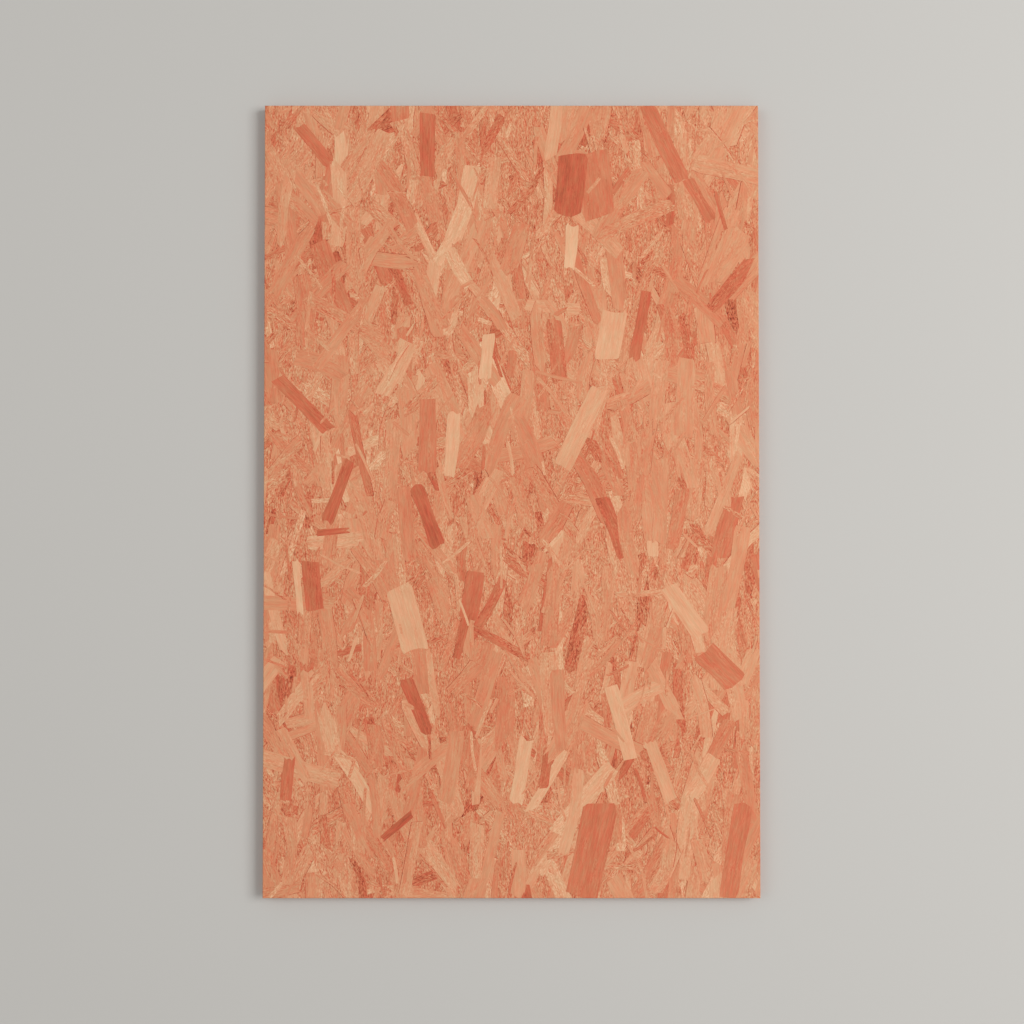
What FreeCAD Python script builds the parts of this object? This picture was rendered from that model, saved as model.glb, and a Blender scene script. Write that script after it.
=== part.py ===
# Fire-rated oriented strand board: one pressed and sawn panel, lying flat.
#
# The width runs along X, the length along Y and the thickness up Z. The strands of
# both faces run mainly along the length. The origin is the middle of the underside.
# All sizes are in millimetres.

import FreeCAD, Part
import os
import Sketcher

NODE = "board"

# alias, value, what it is
SIZES = [
    ("board_width", "625", "side along X, half of a 1250 mm sheet"),
    ("board_length", "1000", "side along Y, along the face strands"),
    ("board_thickness", "18", "pressed and sanded thickness, up Z"),
    ("arris_ease", "0.8", "bevel that sanding leaves where a face meets a sawn edge"),
]

ORIGIN_POINT = (-1, 1)  # a sketch's own origin, as geometry index and point
START = 1
END = 2


def make_size_sheet(doc):
    """The driving dimensions, one row each, with the alias on the value's cell."""
    sheet = doc.addObject("Spreadsheet::Sheet", "Sizes")
    for row, (alias, value, meaning) in enumerate(SIZES, start=1):
        sheet.set(f"A{row}", alias)
        sheet.set(f"B{row}", value)
        sheet.set(f"C{row}", meaning)
        sheet.setAlias(f"B{row}", alias)
    doc.recompute()
    return sheet


def origin_plane(body, role):
    """The body's own origin plane with this role, such as XY_Plane."""
    return next(plane for plane in body.Origin.OriginFeatures if plane.Role == role)


def add_centred_rectangle(body, sheet):
    """The board's outline, width by length, centred on the origin."""
    outline = body.newObject("Sketcher::SketchObject", "Outline")
    outline.AttachmentSupport = [(origin_plane(body, "XY_Plane"), "")]
    outline.MapMode = "FlatFace"

    half_width = sheet.get("board_width") / 2
    half_length = sheet.get("board_length") / 2
    corners = [
        FreeCAD.Vector(-half_width, -half_length, 0),
        FreeCAD.Vector(half_width, -half_length, 0),
        FreeCAD.Vector(half_width, half_length, 0),
        FreeCAD.Vector(-half_width, half_length, 0),
    ]
    for side, corner in enumerate(corners):
        next_corner = corners[(side + 1) % len(corners)]
        outline.addGeometry(Part.LineSegment(corner, next_corner), False)

    front, right, back, left = range(len(corners))
    for side in (front, right, back, left):
        following = (side + 1) % len(corners)
        outline.addConstraint(Sketcher.Constraint("Coincident", side, END, following, START))
    for side in (front, back):
        outline.addConstraint(Sketcher.Constraint("Horizontal", side))
    for side in (right, left):
        outline.addConstraint(Sketcher.Constraint("Vertical", side))
    outline.addConstraint(Sketcher.Constraint("Symmetric", front, START, right, END, *ORIGIN_POINT))

    width = outline.addConstraint(
        Sketcher.Constraint("DistanceX", front, START, front, END, 2 * half_width))
    length = outline.addConstraint(
        Sketcher.Constraint("DistanceY", right, START, right, END, 2 * half_length))
    outline.setExpression(f"Constraints[{width}]", "Sizes.board_width")
    outline.setExpression(f"Constraints[{length}]", "Sizes.board_length")
    return outline


def face_perimeter_edges(shape):
    """Names of the level edges, which bound the top face and the underside."""
    level = 1e-6
    names = []
    for number, edge in enumerate(shape.Edges, start=1):
        if edge.BoundBox.ZLength < level:
            names.append(f"Edge{number}")
    return names


def make_board(doc, sheet):
    """The panel: its outline padded upwards, with the arrises of both faces eased."""
    board = doc.addObject("PartDesign::Body", "Board")
    board.Label = NODE
    outline = add_centred_rectangle(board, sheet)

    panel = board.newObject("PartDesign::Pad", "Panel")
    panel.Profile = outline
    panel.Type = "Length"
    panel.setExpression("Length", "Sizes.board_thickness")
    doc.recompute()

    arris = board.newObject("PartDesign::Chamfer", "Arris")
    arris.Base = (panel, face_perimeter_edges(panel.Shape))
    arris.ChamferType = "Equal distance"
    arris.setExpression("Size", "Sizes.arris_ease")
    board.Placement = FreeCAD.Placement()
    doc.recompute()
    return board


def check_document(doc, parts):
    """Stop if any feature failed or any sub-part has no sound shape."""
    for item in doc.Objects:
        failed = {"Invalid", "Error"} & set(item.State)
        if failed:
            raise RuntimeError(f"{item.Name} is {', '.join(sorted(failed))}")
    for part in parts:
        if part.Shape.isNull() or not part.Shape.isValid():
            raise RuntimeError(f"{part.Label} has no valid shape")


def export_parts(parts):
    """One STEP file for each sub-part, named after its label."""
    os.makedirs("parts", exist_ok=True)
    for part in parts:
        part.Shape.exportStep(os.path.join("parts", f"{part.Label}.step"))
        box = part.Shape.BoundBox
        print(f"{part.Label}: {box.XLength:.1f} x {box.YLength:.1f} x {box.ZLength:.1f} mm,"
              f" {part.Shape.Volume / 1000:.1f} cm3")


def main():
    doc = FreeCAD.newDocument("FireRatedBoard")
    sheet = make_size_sheet(doc)
    board = make_board(doc, sheet)
    check_document(doc, [board])
    export_parts([board])


main()
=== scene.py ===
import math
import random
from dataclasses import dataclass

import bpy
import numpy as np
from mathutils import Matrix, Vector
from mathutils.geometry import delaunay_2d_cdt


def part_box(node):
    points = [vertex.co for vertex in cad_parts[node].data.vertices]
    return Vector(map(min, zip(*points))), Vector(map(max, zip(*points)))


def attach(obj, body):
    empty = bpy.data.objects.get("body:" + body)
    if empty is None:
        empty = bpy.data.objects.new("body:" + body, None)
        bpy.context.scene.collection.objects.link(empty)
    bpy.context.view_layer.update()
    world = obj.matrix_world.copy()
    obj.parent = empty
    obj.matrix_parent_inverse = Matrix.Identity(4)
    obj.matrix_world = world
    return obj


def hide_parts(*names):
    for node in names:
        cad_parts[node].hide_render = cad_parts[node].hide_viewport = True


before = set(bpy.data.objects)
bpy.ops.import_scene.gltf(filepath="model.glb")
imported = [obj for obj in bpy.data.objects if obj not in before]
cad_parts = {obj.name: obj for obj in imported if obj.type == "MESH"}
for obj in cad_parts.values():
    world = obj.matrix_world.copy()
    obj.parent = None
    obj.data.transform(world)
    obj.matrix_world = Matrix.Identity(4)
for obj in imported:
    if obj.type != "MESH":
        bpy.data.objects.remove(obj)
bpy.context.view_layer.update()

# Looks of a fire-rated oriented strand board that lies flat on a pale studio floor.
#
# Three meshes close the board: its top face, its underside and its four sawn edges,
# which meet along the board's outline. Each side is a flat mosaic of wood strands: they
# are scattered and laid over each other in order, cut where they overlap, and each keeps
# its own level, so that the strand edges are real steps. The board's lengths are
# millimetres until a vertex is written; the studio's are metres.

MM = 0.001
NODE = "board"

low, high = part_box(NODE)
WIDTH = (high.x - low.x) / MM
LENGTH = (high.y - low.y) / MM
THICKNESS = (high.z - low.z) / MM
EASE = 0.8            # the bevel that sanding leaves on the arrises
CELLS_ACROSS = 5      # the mosaic is cut cell by cell, which keeps the cutting quick
CELLS_ALONG = 8

FACE_RELIEF = 0.34    # from the highest strand of a sanded face to the lowest
EDGE_RELIEF = 0.5     # the saw leaves the edges rougher
LEVEL_STEP = 0.04     # levels are rounded to this, so that flush strands share a level
WELD = 4              # decimals of a millimetre to which points are one vertex
SEAM_SLACK = 1e-3     # a point this close to an edge's plane is on its seam

FACE_PITCH = 1.1      # how finely a face is sampled for the strands that show
EDGE_PITCH = 0.3      # the same on a sawn edge, where strands are thin
LEAST_SAMPLES = 3     # a strand shows if it is on top at this many samples
NO_STRAND = -1        # the owner of what no strand covers


# ---------------------------------------------------------------- strands

@dataclass
class Strand:
    """One wood strand on a side of the board, in that side's own coordinates."""
    x: float
    y: float
    lean: float       # degrees from the side's long axis, clockwise
    length: float
    width: float
    # A tone below 0 is painted shade, the dark inside a void.
    tone: float       # 0 is the darkest dyed wood, 1 the palest; below 0 is a void
    crumple: float = 0.0   # 0 is a flat strand, 1 a patch of crushed fines
    bend: float = 0.0      # how far the strand's ends curve sideways
    sunk: float = 0.0      # how far it lies below its place in the stack
    level: float = 0.0     # how far it lies below the side's outer plane
    outline: np.ndarray = None
    seed: float = 0.0

    def to_side(self, u, v):
        """A point u along and v across the strand, in the side's coordinates."""
        angle = math.radians(self.lean)
        along = np.array([math.sin(angle), math.cos(angle)])
        across = np.array([math.cos(angle), -math.sin(angle)])
        v = v + self.bend * (2 * u / self.length) ** 2
        return np.array([self.x, self.y]) + np.outer(u, along) + np.outer(v, across)

    def to_grain(self, x, y):
        """A point of the side, as distance along and across the strand's grain."""
        angle = math.radians(self.lean)
        x, y = x - self.x, y - self.y
        u = x * math.sin(angle) + y * math.cos(angle)
        v = x * math.cos(angle) - y * math.sin(angle)
        return u, v - self.bend * (2 * u / self.length) ** 2, self.seed


def end_profile(rng, half_width, length, split_share):
    """How a strand ends: (across, along) pairs from its right side to its left."""
    kind = rng.random()
    if kind < split_share:   # split along the grain to a blunt point
        tip = rng.uniform(-0.8, 0.8)
        reach = min(0.4 * length, rng.uniform(0.8, 3.5) * half_width)
        return [(half_width, -reach), (tip * half_width + 0.3, 0), (tip * half_width - 0.3, 0),
                (-half_width, -reach * rng.uniform(0.3, 1.0))]
    if kind < 0.55:          # torn across in teeth
        teeth = rng.randint(3, 5)
        reach = min(0.1 * length, 5)
        spots = [1 - 2 * i / (teeth - 1) for i in range(teeth)]
        return [(v * half_width, rng.uniform(-reach, 0.3 * reach)) for v in spots]
    slant = rng.uniform(-0.3, 0.3)   # a clean knife cut, a little aslant
    return [(v * half_width, slant * v * half_width) for v in (1, -1)]


def strand_outline(rng, strand, split_share):
    """The strand's outline, anticlockwise in the side's coordinates."""
    half_length, half_width = strand.length / 2, strand.width / 2
    wander = min(0.09 * strand.width, 1.4)
    far_width = half_width * rng.uniform(0.75, 1.0)
    near_width = half_width * rng.uniform(0.75, 1.0)
    far = [(half_length + du, v) for v, du in
           end_profile(rng, far_width, strand.length, split_share)]
    near = [(-half_length - du, v) for v, du in
            end_profile(rng, near_width, strand.length, split_share)]
    shares = (-0.85, 0.0, 0.85) if strand.length > 45 else (-0.6, 0.6)
    middle = [share * half_length for share in shares]
    right = [(u, half_width + rng.uniform(-wander, wander)) for u in middle]
    left = [(u, -half_width + rng.uniform(-wander, wander)) for u in reversed(middle)]
    u, v = np.array(right + far + left + near[::-1]).T
    return strand.to_side(u, v)


def dressed(rng, strand, split_share=0.3):
    """The strand with its outline and its grain's own place in the noise."""
    strand.outline = strand_outline(rng, strand, split_share)
    strand.seed = rng.uniform(0, 900)
    return strand


def painted_shade_beside(rng, strand):
    """A dark red sliver along one side and one end of a strand: painted shade at the overlap,
    partly a glue gap.
    """
    reach = rng.uniform(0.4, 1.0)
    side = rng.choice((-1, 1))
    angle = math.radians(strand.lean + side * rng.uniform(50, 110))
    shift = reach * np.array([math.sin(angle), math.cos(angle)])
    shade_sliver = Strand(strand.x + shift[0], strand.y + shift[1], strand.lean, strand.length,
                 strand.width, rng.uniform(0.0, 0.25), 0.5, strand.bend, sunk=0.04)
    shade_sliver.outline = strand.outline + shift
    shade_sliver.seed = rng.uniform(0, 900)
    return shade_sliver


RED_TONES = (0.12, 0.36)
PALE_TONES = (0.66, 0.85)
PALE_SHARE = 0.1
COMMON_TONE = 0.525
TONE_SPREAD = 0.07
DARKEST_COMMON = 0.3
PALEST_COMMON = 0.76


def mixed_tone(rng, red_share):
    """Most strands take the dye alike; some go deep red and some stay pale."""
    kind = rng.random()
    if kind < red_share:
        return rng.uniform(*RED_TONES)
    if kind < red_share + PALE_SHARE:
        return rng.uniform(*PALE_TONES)
    return min(max(rng.gauss(COMMON_TONE, TONE_SPREAD), DARKEST_COMMON), PALEST_COMMON)


def mixed_lean(rng, spread):
    """Strands lie mainly along the side's long axis; a few lie anyhow."""
    return rng.uniform(-90, 90) if rng.random() < 0.1 else rng.gauss(0, spread)


# What a board's face is covered with, from the bottom up: how many strands for each
# square metre, their least and greatest length and width, how widely they lean, how
# likely a dark sliver of painted shade, partly a glue gap, shows beside one, the range of
# their crumple, and how many of them are deep red.
FACE_LAYERS = (
    (1500, (14, 55), (3, 9), 36, 0.1, (0.6, 1.0), 0.2),
    (1300, (35, 100), (6, 18), 26, 0.2, (0.2, 1.0), 0.18),
    (540, (50, 115), (9, 26), 20, 0.25, (0.0, 0.6), 0.05),
    (520, (8, 60), (1.5, 6), 32, 0.15, (0.1, 0.9), 0.12),
)
SLIVERS_ON_TOP = (110, (8, 40), (1.5, 5), 32, 0.15, (0.0, 0.6), 0.1)
REACH = 0.52   # strands' middles lie up to this share of the board from its middle


def scattered(rng, width, length, layer):
    """One layer of strands over a side, each on top of the one before."""
    density, lengths, widths, spread, shade_line_share, crumples, red_share = layer
    made = []
    for _ in range(round(density * width * length * 1e-6)):
        strand = Strand(rng.uniform(-REACH, REACH) * width, rng.uniform(-REACH, REACH) * length,
                        mixed_lean(rng, spread), rng.uniform(*lengths),
                        rng.triangular(*widths), mixed_tone(rng, red_share),
                        rng.uniform(*crumples))
        strand.bend = rng.gauss(0, 0.03) * strand.length
        dressed(rng, strand)
        # Some strands get a dark red sliver beside them: painted shade at the overlap, partly a
        # glue gap.
        if rng.random() < shade_line_share:
            made.append(painted_shade_beside(rng, strand))
        made.append(strand)
    return made


# The strands that stand out on the top face, placed in round numbers: across and
# up from the middle, as shares of the board, then lean, length, width and tone.
STANDOUTS = (
    (0.17, 0.40, -5, 85, 40, 0.32),
    (0.12, 0.40, 5, 80, 35, 0.08),
    (0.12, 0.32, 5, 60, 15, 0.95),
    (0.31, 0.45, -25, 110, 20, 0.25),
    (0.38, 0.38, -30, 60, 15, 0.25),
    (-0.40, 0.45, -40, 65, 15, 0.2),
    (-0.17, 0.45, 0, 80, 20, 0.2),
    (0.20, 0.21, 10, 65, 32, 0.78),
    (0.26, 0.22, 10, 90, 14, 0.15),
    (-0.05, 0.18, 5, 60, 15, 0.9),
    (-0.42, 0.12, -45, 95, 18, 0.15),
    (-0.17, 0.08, 0, 95, 22, 0.3),
    (-0.12, 0.07, 5, 85, 16, 0.84),
    (0.14, 0.09, 25, 115, 24, 0.75),
    (-0.35, 0.01, 20, 85, 15, 0.12),
    (-0.36, -0.04, 85, 40, 8, 0.15),
    (-0.17, -0.02, -20, 85, 18, 0.12),
    (-0.40, -0.11, -5, 65, 22, 0.2),
    (-0.43, -0.11, -5, 70, 9, 0.95),
    (-0.21, -0.15, -15, 85, 34, 0.78),
    (-0.08, -0.12, 10, 60, 24, 0.15),
    (-0.10, -0.17, 15, 60, 10, 0.12),
    (0.35, -0.14, -35, 75, 22, 0.75),
    (0.42, -0.21, -45, 60, 32, 0.22),
    (-0.19, -0.26, -22, 75, 16, 0.1),
    (0.22, -0.28, -15, 95, 18, 0.85),
    (0.30, -0.34, -20, 80, 16, 0.75),
    (0.02, -0.34, 10, 85, 18, 0.82),
    (0.16, -0.44, 12, 120, 42, 0.22),
    (0.45, -0.44, 10, 120, 24, 0.24),
    (-0.23, -0.41, 50, 55, 9, 0.05),
    (-0.45, -0.35, 5, 55, 14, 0.18),
)


def with_levels(rng, strands, relief):
    """Sets the strands' levels: the later a strand is laid, the higher it lies."""
    for order, strand in enumerate(strands):
        depth = relief * (1 - order / len(strands)) * rng.uniform(0.6, 1.0)
        strand.level = round((depth + strand.sunk) / LEVEL_STEP) * LEVEL_STEP
    return strands


def face_strands(seed, standouts=()):
    """The strands of the top face or the underside, in the order they are laid."""
    rng = random.Random(seed)
    strands = []
    for layer in FACE_LAYERS:
        strands += scattered(rng, WIDTH, LENGTH, layer)
    for across, up, lean, length, width, tone in standouts:
        strand = Strand(across * WIDTH, up * LENGTH, lean, length, width, tone)
        strands.append(dressed(rng, strand, split_share=0.0))
    strands += scattered(rng, WIDTH, LENGTH, SLIVERS_ON_TOP)
    return with_levels(rng, strands, FACE_RELIEF)


# What a sawn edge shows: strands for each square millimetre, how far from the middle the
# core reaches as a share of the height, and the lengths of strands cut across and along.
EDGE_DENSITY = 0.07
CORE_REACH = 0.26
END_LENGTHS = (7, 26)
GRAIN_LENGTHS = (30, 120)
EDGE_THICKNESSES = (0.45, 1.15)
ALONG_THE_EDGE = 90    # the lean of a strand that lies level in the board
EDGE_LEAN_SPREAD = 1.6
EDGE_BEND = 0.5
EDGE_RED_SHARE = 0.1
EDGE_DARKER = 0.05     # sawn wood looks this much darker than a sanded face
END_CRUMPLE = 0.5
GRAIN_CRUMPLE = 0.15

VOID_CHANCE = 0.1
VOID_LENGTHS = (3, 16)
VOID_HEIGHTS = (0.25, 0.7)
# A void's floor is painted far darker than any wood: painted shade in the hollow.
VOID_SHADE_TONE = -0.42
VOID_DEPTH = 1.2
RIM_CLEARANCE = 0.3   # strands and voids stop this far inside the edge's outline


def edge_strands(seed, width, height, ends_in_faces):
    """The sawn edge: thin strand sections, stacked as the press left them.

    In the face layers and in the core the strands run at right angles to each other,
    so one of them shows its strands' length and the other their cut ends."""
    rng = random.Random(seed)
    strands = []
    for _ in range(round(width * height * EDGE_DENSITY)):
        y = rng.uniform(-0.5, 0.5) * height
        in_core = abs(y) < CORE_REACH * height
        shows_ends = in_core != ends_in_faces
        length = rng.uniform(*(END_LENGTHS if shows_ends else GRAIN_LENGTHS))
        thickness = rng.uniform(*EDGE_THICKNESSES)
        x = rng.uniform(-0.5, 0.5) * width
        lean = ALONG_THE_EDGE + rng.gauss(0, EDGE_LEAN_SPREAD)
        tone = mixed_tone(rng, EDGE_RED_SHARE) - EDGE_DARKER
        crumple = END_CRUMPLE if shows_ends else GRAIN_CRUMPLE
        strand = Strand(x, y, lean, length, thickness, tone, crumple)
        strand.bend = rng.gauss(0, EDGE_BEND)
        strands.append(dressed(rng, strand))
        # Voids are sunk and painted dark: the dark is painted shade.
        if rng.random() < VOID_CHANCE:   # a small void, where strands bridge
            void = Strand(x, y, ALONG_THE_EDGE, rng.uniform(*VOID_LENGTHS),
                          rng.uniform(*VOID_HEIGHTS), VOID_SHADE_TONE, sunk=VOID_DEPTH)
            strands.append(dressed(rng, void))
    with_levels(rng, strands, EDGE_RELIEF)
    limit = np.array([0.5 * width - RIM_CLEARANCE, 0.5 * height - RIM_CLEARANCE])
    for strand in strands:
        strand.outline = strand.outline.clip(-limit, limit)
    return strands


# ---------------------------------------------------------------- the mosaic

def inside(points, outline):
    """Which of the points lie in the outline."""
    x, y = points[:, 0], points[:, 1]
    odd = np.zeros(len(points), bool)
    for (x1, y1), (x2, y2) in zip(outline, np.roll(outline, -1, axis=0)):
        if y1 != y2:
            odd ^= ((y1 > y) != (y2 > y)) & (x < (x2 - x1) * (y - y1) / (y2 - y1) + x1)
    return odd


def topmost(points, numbered_strands):
    """For each point, the number of the last strand laid over it."""
    owner = np.full(len(points), NO_STRAND)
    order = np.argsort(points[:, 0])
    ranked = points[order]
    for number, strand in numbered_strands:
        lowest, highest = strand.outline.min(0), strand.outline.max(0)
        first, last = np.searchsorted(ranked[:, 0], (lowest[0], highest[0]))
        near = order[first:last]
        near = near[(points[near, 1] >= lowest[1]) & (points[near, 1] <= highest[1])]
        if len(near):
            owner[near[inside(points[near], strand.outline)]] = number
    return owner


def seen(strands, width, length):
    """The strands that show at least a little, found on a fine grid of sample points."""
    pitch = FACE_PITCH if length > THICKNESS else EDGE_PITCH
    xs, ys = np.arange(-width / 2, width / 2, pitch), np.arange(-length / 2, length / 2, pitch)
    grid = np.stack(np.meshgrid(xs, ys, indexing="ij"), -1).reshape(-1, 2)
    owner = topmost(grid, enumerate(strands))
    count = np.bincount(owner[owner >= 0], minlength=len(strands))
    return [strand for strand, samples in zip(strands, count) if samples >= LEAST_SAMPLES]


def clipped(outline, low_corner, high_corner):
    """The part of an outline that lies in a cell."""
    points = [tuple(p) for p in outline]
    for axis in (0, 1):
        for sign, limit in ((1, low_corner[axis]), (-1, -high_corner[axis])):
            kept = []
            for a, b in zip(points, points[1:] + points[:1]):
                over_a, over_b = sign * a[axis] - limit, sign * b[axis] - limit
                if over_a >= 0:
                    kept.append(a)
                if (over_a >= 0) != (over_b >= 0):
                    share = over_a / (over_a - over_b)
                    cut = [a[i] + share * (b[i] - a[i]) for i in (0, 1)]
                    cut[axis] = sign * limit
                    kept.append(tuple(cut))
            points = kept
            if not points:
                return []
    return points


def rectangle(half_x, half_y):
    return np.array([(-half_x, -half_y), (half_x, -half_y), (half_x, half_y), (-half_x, half_y)])


def triangulated(outlines, edges=(), loose=()):
    """The plane cut along all outlines and edges: its points, and its triangles."""
    coords, faces, lines = [], [], []
    for outline in outlines:
        if len(outline) > 2:
            faces.append(list(range(len(coords), len(coords) + len(outline))))
            coords.extend(Vector(p) for p in outline)
    for pair in edges:
        lines.append((len(coords), len(coords) + 1))
        coords.extend(Vector(p) for p in pair)
    coords.extend(Vector(p) for p in loose)
    found, _, triangles, _, _, _ = delaunay_2d_cdt(coords, lines, faces, 0, 1e-5, False)
    points = np.array([tuple(p) for p in found])
    triangles = np.array([t for t in triangles if len(t) == 3])
    a, b, c = (points[triangles[:, i]] for i in range(3))
    turn = (b[:, 0] - a[:, 0]) * (c[:, 1] - a[:, 1]) - (b[:, 1] - a[:, 1]) * (c[:, 0] - a[:, 0])
    triangles[turn < 0] = triangles[turn < 0][:, ::-1]
    return points, triangles[np.abs(turn) > 1e-9]


def shown_edges(points, triangles, owners):
    """The edges between different owners, with straight runs joined into one edge."""
    owner_of, joined = {}, {}
    for corners, owner in zip(triangles.tolist(), owners.tolist()):
        for a, b in zip(corners, corners[1:] + corners[:1]):
            key = (min(a, b), max(a, b))
            if key in owner_of and owner_of[key] != owner:
                joined.setdefault(a, set()).add(b)
                joined.setdefault(b, set()).add(a)
            owner_of[key] = owner
    for middle in list(joined):
        if len(joined[middle]) == 2:
            a, b = joined[middle]
            first, second = points[middle] - points[a], points[b] - points[middle]
            bent = abs(first[0] * second[1] - first[1] * second[0])
            if bent < 1e-4 * math.hypot(*first) * math.hypot(*second) and b not in joined[a]:
                for end, other in ((a, b), (b, a)):
                    joined[end].discard(middle)
                    joined[end].add(other)
                del joined[middle]
    return [(points[a], points[b]) for a in joined for b in joined[a] if a < b]


class Side:
    """One side of the board: a flat mosaic of strands with a narrow rim round it."""

    def __init__(self, centre, across, along, width, length, rim, rim_depth, cells, ground):
        self.centre, self.across, self.along = Vector(centre), Vector(across), Vector(along)
        self.out = self.across.cross(self.along)
        self.width, self.length = width, length
        self.rim, self.rim_depth, self.cells = rim, rim_depth, cells
        self.ground = ground
        self.points, self.number_of = [], {}
        self.triangles, self.owners = [], []

    def place(self, x, y, depth):
        return self.centre + self.across * x + self.along * y - self.out * depth

    def point(self, x, y):
        key = (round(x, WELD), round(y, WELD))
        if key not in self.number_of:
            self.number_of[key] = len(self.points)
            self.points.append(key)
        return self.number_of[key]

    def on_rim(self, point):
        x, y = self.points[point]
        slack = 10 ** -WELD
        return (abs(abs(x) - self.width / 2) < slack) or (abs(abs(y) - self.length / 2) < slack)

    def in_rim(self, middles):
        """Which of the points lie on the narrow rim round the side."""
        reach = np.array([self.width / 2 - self.rim, self.length / 2 - self.rim])
        return (np.abs(middles) > reach).any(1)

    def cut_cell(self, low_corner, high_corner, strands, seam):
        """Triangles of one cell, each wholly in the topmost strand there."""
        cell = np.array([low_corner, (high_corner[0], low_corner[1]),
                         high_corner, (low_corner[0], high_corner[1])])
        inner = rectangle(self.width / 2 - self.rim, self.length / 2 - self.rim)
        local, outlines = [], [cell, clipped(inner, low_corner, high_corner)]
        for number, strand in enumerate(strands):
            lowest, highest = strand.outline.min(0), strand.outline.max(0)
            if (lowest < high_corner).all() and (highest > low_corner).all():
                outlines.append(clipped(strand.outline, low_corner, high_corner))
                local.append((number, strand))
        points, triangles = triangulated(outlines)
        middles = points[triangles].mean(1)
        owners = topmost(middles, local) * 2 + self.in_rim(middles)

        # Only the edges that show between two strands are kept, and cut anew.
        edges = shown_edges(points, triangles, owners)
        on_cell = [p for p in seam if (np.array(p) >= low_corner).all()
                   and (np.array(p) <= high_corner).all()]
        points, triangles = triangulated([cell], edges, on_cell)
        middles = points[triangles].mean(1)
        owners = topmost(middles, local)
        numbers = [self.point(*p) for p in points]
        self.triangles += [[numbers[i] for i in corners] for corners in triangles]
        self.owners += [int(owner) for owner in owners]

    def cut(self, strands, seam=()):
        """The whole mosaic, cell by cell."""
        self.strands = seen(strands, self.width, self.length)
        across, along = self.cells
        xs = np.linspace(-self.width / 2, self.width / 2, across + 1)
        ys = np.linspace(-self.length / 2, self.length / 2, along + 1)
        for i in range(across):
            for j in range(along):
                self.cut_cell((xs[i], ys[j]), (xs[i + 1], ys[j + 1]), self.strands, seam)
        self.strands.append(self.ground)   # the last one, which NO_STRAND picks

    def seam_points(self):
        """Where this side's mosaic meets the board's outline, in the row frame."""
        return [self.place(*self.points[i], self.rim_depth)
                for i in range(len(self.points)) if self.on_rim(i)]

    def project(self, place):
        away = place - self.centre
        return away.dot(self.across), away.dot(self.along)


class BoardMesh:
    """Gathers one piece's faces, with each face's strand and place on the map."""

    def __init__(self):
        self.vertices, self.number_of = [], {}
        self.faces, self.strand_facts, self.grain, self.map = [], [], [], []

    def vertex(self, place):
        key = tuple(round(c, WELD) for c in place)
        if key not in self.number_of:
            self.number_of[key] = len(self.vertices)
            self.vertices.append([c * MM for c in key])
        return self.number_of[key]

    def add_face(self, corners, strand, grain, where):
        self.faces.append(corners)
        self.strand_facts.append((strand.tone, strand.crumple, 0.0))   # a vector takes three
        self.grain.extend(grain)
        self.map.extend(where)

    def add_side(self, side, map_of):
        """The side's strands, each at its level, and the small walls between them."""
        xy = side.points
        rim = [side.on_rim(i) for i in range(len(xy))]

        def depth(i, owner):
            return side.rim_depth if rim[i] else side.strands[owner].level

        levels = [set() for _ in xy]
        for corners, owner in zip(side.triangles, side.owners):
            for i in corners:
                levels[i].add(depth(i, owner))

        def add(corner_list, owner):
            strand = side.strands[owner]
            ids = [self.vertex(side.place(*xy[i], d)) for i, d in corner_list]
            grain = [strand.to_grain(*xy[i]) for i, _ in corner_list]
            where = [map_of(*xy[i]) for i, _ in corner_list]
            self.add_face(ids, strand, grain, where)

        sides_of = {}
        for corners, owner in zip(side.triangles, side.owners):
            add([(i, depth(i, owner)) for i in corners], owner)
            for a, b in zip(corners, corners[1:] + corners[:1]):
                sides_of.setdefault((min(a, b), max(a, b)), []).append((a, b, owner))
        for pair in sides_of.values():
            if len(pair) != 2 or pair[0][2] == pair[1][2]:
                continue
            pair.sort(key=lambda edge: side.strands[edge[2]].level)
            (a, b, upper), (_, _, lower) = pair
            wall = self.stack(a, levels, depth(a, upper), depth(a, lower))
            wall += self.stack(b, levels, depth(b, upper), depth(b, lower))[::-1]
            if len(wall) > 2:
                add(wall, upper)

    @staticmethod
    def stack(i, levels, top, bottom):
        """The corner's levels from the upper strand down to the lower one."""
        return [(i, d) for d in sorted(levels[i]) if top - 1e-9 <= d <= bottom + 1e-9]

    def build(self, name):
        mesh = bpy.data.meshes.new(name)
        mesh.from_pydata(self.vertices, [], self.faces)
        facts = mesh.attributes.new("strand", "FLOAT_VECTOR", "FACE")
        facts.data.foreach_set("vector", np.array(self.strand_facts, np.float32).ravel())
        grain = mesh.attributes.new("grain", "FLOAT_VECTOR", "CORNER")
        grain.data.foreach_set("vector", np.array(self.grain, np.float32).ravel())
        layer = mesh.uv_layers.new(name="OFBake", do_init=False)
        layer.uv.foreach_set("vector", np.array(self.map, np.float32).ravel())
        mesh.validate(verbose=False)
        mesh.update()
        board = bpy.data.objects.new(name, mesh)
        bpy.context.scene.collection.objects.link(board)
        return board


MAP_MARGIN = 0.004    # round the texture map, as a share of it
BAND_STEP = 0.25      # the four edges are bands on their own map, one above the other
BAND_HEIGHT = 0.24


def map_band(width, length, bottom=MAP_MARGIN, up=1 - 2 * MAP_MARGIN):
    """Where a side's own coordinates fall on its piece's texture map."""
    def where(x, y):
        left = MAP_MARGIN + (x / width + 0.5) * (1 - 2 * MAP_MARGIN)
        return left, bottom + (y / length + 0.5) * up
    return where


TOP_SEED = 20
UNDERSIDE_SEED = 51
EDGE_SEED = 70
UNDER_STRANDS = 0.04   # how far the ground lies below the lowest strand
EDGE_RIM = 0.2         # the narrow rim round a sawn edge, level with its outline


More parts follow.
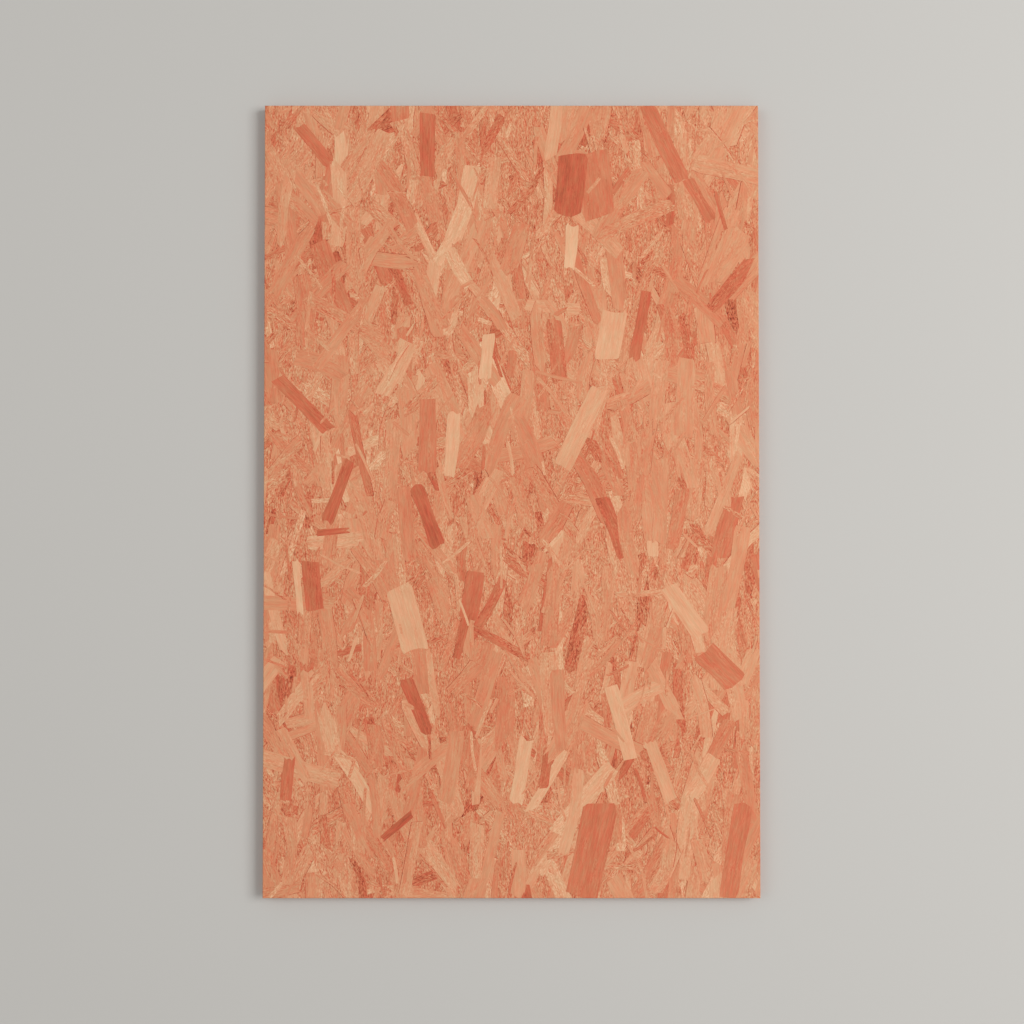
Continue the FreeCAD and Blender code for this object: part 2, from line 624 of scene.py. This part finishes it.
def build_board():
    """The board's three meshes: both faces, and the four sawn edges as one piece."""
    # The grounds are the fines that show where no strand lies. They don't bend, so the
    # length and width they are given have no effect.
    ground = Strand(0, 0, 0, LENGTH, LENGTH, 0.45, 1.0, level=FACE_RELIEF + UNDER_STRANDS,
                    seed=11.0)
    edge_ground = Strand(0, 0, ALONG_THE_EDGE, LENGTH, LENGTH, 0.3, 0.8,
                         level=EDGE_RELIEF + UNDER_STRANDS, seed=37.0)
    x, y, z = (1, 0, 0), (0, 1, 0), (0, 0, 1)
    back_x, back_y = (-1, 0, 0), (0, -1, 0)
    cells = (CELLS_ACROSS, CELLS_ALONG)
    top = Side((0, 0, THICKNESS), x, y, WIDTH, LENGTH, EASE, EASE, cells, ground)
    under = Side((0, 0, 0), back_x, y, WIDTH, LENGTH, EASE, EASE, cells, ground)
    top.cut(face_strands(TOP_SEED, STANDOUTS))
    under.cut(face_strands(UNDERSIDE_SEED))
    seam = top.seam_points() + under.seam_points()

    top_mesh, under_mesh, edge_mesh = BoardMesh(), BoardMesh(), BoardMesh()
    top_mesh.add_side(top, map_band(WIDTH, LENGTH))
    under_mesh.add_side(under, map_band(WIDTH, LENGTH))

    height = THICKNESS - 2 * EASE
    middle = THICKNESS / 2
    edges = (
        ((WIDTH / 2, 0, middle), y, LENGTH, CELLS_ALONG, False),
        ((-WIDTH / 2, 0, middle), back_y, LENGTH, CELLS_ALONG, False),
        ((0, LENGTH / 2, middle), back_x, WIDTH, CELLS_ACROSS, True),
        ((0, -LENGTH / 2, middle), x, WIDTH, CELLS_ACROSS, True),
    )
    for number, (centre, across, width, count, ends_in_faces) in enumerate(edges):
        edge = Side(centre, across, z, width, height, EDGE_RIM, 0.0, (count, 1), edge_ground)
        shared = [edge.project(p) for p in seam
                  if abs((p - edge.centre).dot(edge.out)) < SEAM_SLACK]
        edge.cut(edge_strands(EDGE_SEED + number, width, height, ends_in_faces), shared)
        band = map_band(width, height, MAP_MARGIN + BAND_STEP * number, BAND_HEIGHT)
        edge_mesh.add_side(edge, band)
    return [top_mesh.build("top_face"), under_mesh.build("underside"),
            edge_mesh.build("sawn_edges")]


# ---------------------------------------------------------------- the material

class Nodes:
    """Short names for the few shader nodes that the strands need."""

    def __init__(self, material):
        material.use_nodes = True
        self.tree = material.node_tree
        self.shader = self.tree.nodes["Principled BSDF"]

    def new(self, kind, **settings):
        node = self.tree.nodes.new(kind)
        for key, value in settings.items():
            setattr(node, key, value)
        return node

    def feed(self, socket, value):
        if isinstance(value, bpy.types.NodeSocket):
            self.tree.links.new(value, socket)
        else:
            socket.default_value = value

    def math(self, operation, a, b=0.0, c=0.0, clamp=False):
        node = self.new("ShaderNodeMath", operation=operation, use_clamp=clamp)
        for socket, value in zip(node.inputs, (a, b, c)):
            self.feed(socket, value)
        return node.outputs[0]

    def attribute(self, name):
        return self.new("ShaderNodeAttribute", attribute_name=name).outputs["Vector"]

    def split(self, vector):
        node = self.new("ShaderNodeSeparateXYZ")
        self.feed(node.inputs[0], vector)
        return node.outputs

    def join(self, x, y, z):
        node = self.new("ShaderNodeCombineXYZ")
        for socket, value in zip(node.inputs, (x, y, z)):
            self.feed(socket, value)
        return node.outputs[0]

    def vector_sum(self, a, b):
        node = self.new("ShaderNodeVectorMath", operation="ADD")
        self.feed(node.inputs[0], a)
        self.feed(node.inputs[1], b)
        return node.outputs[0]

    def scaled(self, vector, amount):
        node = self.new("ShaderNodeVectorMath", operation="SCALE")
        self.feed(node.inputs[0], vector)
        node.inputs["Scale"].default_value = amount
        return node.outputs[0]

    def noise(self, vector, detail=2.0, roughness=0.5, colour=False):
        node = self.new("ShaderNodeTexNoise")
        self.feed(node.inputs["Vector"], vector)
        self.feed(node.inputs["Scale"], 1.0)
        self.feed(node.inputs["Detail"], detail)
        self.feed(node.inputs["Roughness"], roughness)
        return node.outputs["Color" if colour else "Fac"]

    def cells(self, vector, feature):
        node = self.new("ShaderNodeTexVoronoi", feature=feature)
        self.feed(node.inputs["Vector"], vector)
        self.feed(node.inputs["Scale"], 1.0)
        return node

    def mix(self, factor, a, b):
        node = self.new("ShaderNodeMix", data_type="RGBA")
        self.feed(node.inputs["Factor"], factor)
        self.feed(node.inputs["A"], a)
        self.feed(node.inputs["B"], b)
        return node.outputs["Result"]

    def ramp(self, factor, stops):
        node = self.new("ShaderNodeValToRGB")
        elements = node.color_ramp.elements
        while len(elements) < len(stops):
            elements.new(0.5)
        for element, (position, colour) in zip(elements, stops):
            element.position = position
            element.color = linear(colour)
        self.feed(node.inputs[0], factor)
        return node.outputs["Color"]


def linear(colour):
    """An sRGB colour written as 0 to 255, as the linear numbers that shaders take."""
    share = [c / 255 for c in colour]
    return [c / 12.92 if c <= 0.04045 else ((c + 0.055) / 1.055) ** 2.4 for c in share] + [1.0]


TONE_FLOOR = -0.5     # the tone at the ramps' left end
TONE_CEILING = 1.3    # the tone at their right end
SALMON = ((-0.5, (96, 42, 28)), (-0.15, (166, 70, 46)), (0.05, (200, 91, 63)),
          (0.25, (210, 111, 78)), (0.55, (217, 139, 101)), (0.85, (226, 163, 124)),
          (1.15, (237, 186, 148)))
OCHRE = ((-0.5, (92, 44, 28)), (-0.15, (152, 74, 48)), (0.05, (186, 96, 63)),
         (0.25, (197, 117, 81)), (0.55, (207, 145, 106)), (0.85, (217, 168, 128)),
         (1.15, (230, 189, 149)))


def on_ramp(stops):
    span = TONE_CEILING - TONE_FLOOR
    return [((tone - TONE_FLOOR) / span, colour) for tone, colour in stops]


def strand_material():
    """Dyed, pressed and sanded wood strands, drawn along each strand's own grain."""
    material = bpy.data.materials.new("dyed_strands")
    n = Nodes(material)
    tone, crumple, _ = n.split(n.attribute("strand"))
    along, across, seed = n.split(n.attribute("grain"))
    place = n.new("ShaderNodeTexCoord").outputs["Object"]

    def grain_space(length, width, shift=0.0):
        """Each strand's grain, drawn out over so many millimetres along and across it."""
        return n.join(n.math("DIVIDE", along, length), n.math("DIVIDE", across, width),
                      n.math("ADD", seed, shift))

    def swing(value, amount):
        """A noise turned into a change of tone, up or down."""
        return n.math("MULTIPLY", n.math("SUBTRACT", value, 0.5), amount)

    patches = n.noise(grain_space(38, 11), 2.0)
    streaks = n.noise(grain_space(26, 1.9, 5.0), 3.0, 0.6)
    fibres = n.noise(grain_space(9, 0.75, 9.0), 2.0, 0.6)

    # The press takes up the dye unevenly, in wide soft patches across all strands.
    drift = n.noise(n.scaled(place, 5.0), 1.0)

    # Crushed fines: small chips that lie across each other, with dark gaps between. They
    # fill the crumpled strands and show in patches on the flat ones.
    crushed = n.noise(grain_space(30, 8, 53.0), 2.0)
    crumple = n.math("ADD", crumple, swing(crushed, 1.7), clamp=True)
    warp = n.scaled(n.noise(grain_space(14, 7, 13.0), 2.0, 0.5, colour=True), 2.6)
    chip_space = n.vector_sum(grain_space(7.0, 2.4, 17.0), warp)
    chips = n.cells(chip_space, "F1")
    chip_tone = n.split(chips.outputs["Color"])[0]
    chip_edge = n.cells(chip_space, "DISTANCE_TO_EDGE").outputs["Distance"]
    chip_line = n.math("SUBTRACT", 1.0, n.math("DIVIDE", chip_edge, 0.16, clamp=True))
    squiggle = n.noise(n.vector_sum(grain_space(3.4, 1.3, 23.0), warp), 1.0)

    # Wavy fibres in the fines: thin lines where a noise passes through its middle value.
    waves = n.noise(n.vector_sum(grain_space(7.0, 2.2, 41.0), warp), 2.0)
    off_line = n.math("ABSOLUTE", n.math("SUBTRACT", waves, 0.5))
    wavy_line = n.math("SUBTRACT", 1.0, n.math("DIVIDE", off_line, 0.045, clamp=True))

    total = tone
    for texture, amount in ((drift, 0.34), (patches, 0.32), (streaks, 0.46), (fibres, 0.44)):
        total = n.math("ADD", total, swing(texture, amount))
    fines = n.math("ADD", swing(chip_tone, 0.2), n.math("MULTIPLY_ADD", squiggle, 1.65, -0.74))
    fines = n.math("SUBTRACT", fines, n.math("MULTIPLY", chip_line, 0.08))
    fines = n.math("SUBTRACT", fines, n.math("MULTIPLY", wavy_line, 0.27))
    total = n.math("ADD", total, n.math("MULTIPLY", fines, crumple))

    factor = n.math("DIVIDE", n.math("SUBTRACT", total, TONE_FLOOR), TONE_CEILING - TONE_FLOOR)
    hue = n.noise(grain_space(18, 4, 31.0), 3.0, 0.6)
    hue = n.math("MULTIPLY_ADD", n.math("SUBTRACT", hue, 0.5), 3.2, 0.5, clamp=True)
    colour = n.mix(hue, n.ramp(factor, on_ramp(SALMON)), n.ramp(factor, on_ramp(OCHRE)))
    n.feed(n.shader.inputs["Base Color"], colour)

    roughness = n.math("MULTIPLY_ADD", streaks, 0.2, 0.68)
    n.feed(n.shader.inputs["Roughness"], n.math("MULTIPLY_ADD", crumple, 0.08, roughness))
    n.shader.inputs["Specular IOR Level"].default_value = 0.3

    height = n.math("ADD", swing(streaks, 0.12), swing(fibres, 0.05))
    rough_height = n.math("ADD", swing(squiggle, 0.5), n.math("MULTIPLY", chip_line, -0.12))
    height = n.math("ADD", height, n.math("MULTIPLY", rough_height, crumple))
    bump = n.new("ShaderNodeBump")
    bump.inputs["Strength"].default_value = 1.0
    bump.inputs["Distance"].default_value = MM
    n.feed(bump.inputs["Height"], height)
    n.feed(n.shader.inputs["Normal"], bump.outputs["Normal"])
    return material


def plain_material(name, colour, roughness):
    """A matt studio surface with a very faint mottle."""
    material = bpy.data.materials.new(name)
    n = Nodes(material)
    place = n.new("ShaderNodeTexCoord").outputs["Object"]
    mottle = n.noise(place, 3.0)
    darker = [c * 0.97 for c in linear(colour)[:3]] + [1.0]
    n.feed(n.shader.inputs["Base Color"], n.mix(mottle, darker, linear(colour)))
    n.shader.inputs["Roughness"].default_value = roughness
    n.shader.inputs["Specular IOR Level"].default_value = 0.2
    return material


# ---------------------------------------------------------------- the studio

FRAME_SPAN = 1.291          # what the picture is wide at the board's top face, in metres
LENS = 50.0                 # millimetres, as the sensor's width is
SENSOR = 36.0
CAMERA_TILT = 1.0           # degrees from straight down, towards the board's near end
AIM = Vector((0.0006, -0.0151, THICKNESS * MM))

FLOOR_SIZE = 60
FLOOR_COLOUR = (194, 192, 188)
BACKDROP = (192, 190, 186)
FADE_START = 1.2            # metres from the board's middle
FADE_LENGTH = 4.0
SKY_COLOUR = (255, 254, 252)
SKY_STRENGTH = 0.47
LAMPS = (                   # name, place, side of the softbox and power
    ("key_lamp", (2.9, 0.4, 3.2), 2.2, 126),
    ("fill_lamp", (-3.0, 0.6, 3.6), 2.6, 32),
)


def add_camera():
    """A camera that looks down on the board, its length upright in the picture."""
    camera = bpy.data.objects.new("camera", bpy.data.cameras.new("camera"))
    camera.data.lens = LENS
    camera.data.sensor_width = SENSOR
    distance = FRAME_SPAN * LENS / SENSOR
    tilt = math.radians(CAMERA_TILT)
    back = Vector((0, -math.sin(tilt), math.cos(tilt)))
    camera.location = AIM + back * distance
    camera.rotation_euler = (tilt, 0, 0)
    bpy.context.scene.collection.objects.link(camera)
    bpy.context.scene.camera = camera


def add_softbox(name, place, size, power):
    """A square area lamp that faces the board's middle."""
    lamp = bpy.data.lights.new(name, "AREA")
    lamp.shape = "SQUARE"
    lamp.size = size
    lamp.energy = power
    softbox = bpy.data.objects.new(name, lamp)
    softbox.location = place
    softbox.rotation_euler = (-Vector(place)).to_track_quat("-Z", "Y").to_euler()
    bpy.context.scene.collection.objects.link(softbox)


def add_world():
    """An even pale light from all round, in front of which the camera sees the backdrop."""
    world = bpy.data.worlds.new("studio")
    bpy.context.scene.world = world
    world.use_nodes = True
    nodes, links = world.node_tree.nodes, world.node_tree.links
    light = nodes["Background"]
    light.inputs["Color"].default_value = linear(SKY_COLOUR)
    light.inputs["Strength"].default_value = SKY_STRENGTH
    backdrop = nodes.new("ShaderNodeBackground")
    backdrop.inputs["Color"].default_value = linear(BACKDROP)
    choice = nodes.new("ShaderNodeMixShader")
    links.new(nodes.new("ShaderNodeLightPath").outputs["Is Camera Ray"], choice.inputs[0])
    links.new(light.outputs[0], choice.inputs[1])
    links.new(backdrop.outputs[0], choice.inputs[2])
    links.new(choice.outputs[0], nodes["World Output"].inputs["Surface"])


def fade_into_backdrop(material):
    """Away from the board the camera sees the floor turn into the backdrop's colour."""
    n = Nodes(material)
    away = n.new("ShaderNodeVectorMath", operation="LENGTH")
    n.feed(away.inputs[0], n.new("ShaderNodeTexCoord").outputs["Object"])
    share = n.math("SUBTRACT", away.outputs["Value"], FADE_START)
    share = n.math("DIVIDE", share, FADE_LENGTH, clamp=True)
    share = n.math("MULTIPLY", share, n.new("ShaderNodeLightPath").outputs["Is Camera Ray"])
    backdrop = n.new("ShaderNodeEmission")
    backdrop.inputs["Color"].default_value = linear(BACKDROP)
    choice = n.new("ShaderNodeMixShader")
    n.feed(choice.inputs[0], share)
    n.feed(choice.inputs[1], n.shader.outputs[0])
    n.feed(choice.inputs[2], backdrop.outputs[0])
    n.feed(n.tree.nodes["Material Output"].inputs["Surface"], choice.outputs[0])


def add_studio():
    """A wide pale floor that runs into its backdrop, an even sky and two soft lamps."""
    bpy.ops.mesh.primitive_plane_add(size=FLOOR_SIZE)
    floor = bpy.context.object
    floor.name = "floor"
    paint = plain_material("floor_paint", FLOOR_COLOUR, 0.9)
    fade_into_backdrop(paint)
    floor.data.materials.append(paint)

    add_world()
    for lamp in LAMPS:
        add_softbox(*lamp)


def main():
    scene = bpy.context.scene
    scene.view_settings.view_transform = "Standard"
    add_camera()
    add_studio()
    strands = strand_material()
    for piece in build_board():
        piece.data.materials.append(strands)
        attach(piece, "root")
        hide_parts(NODE)


main()
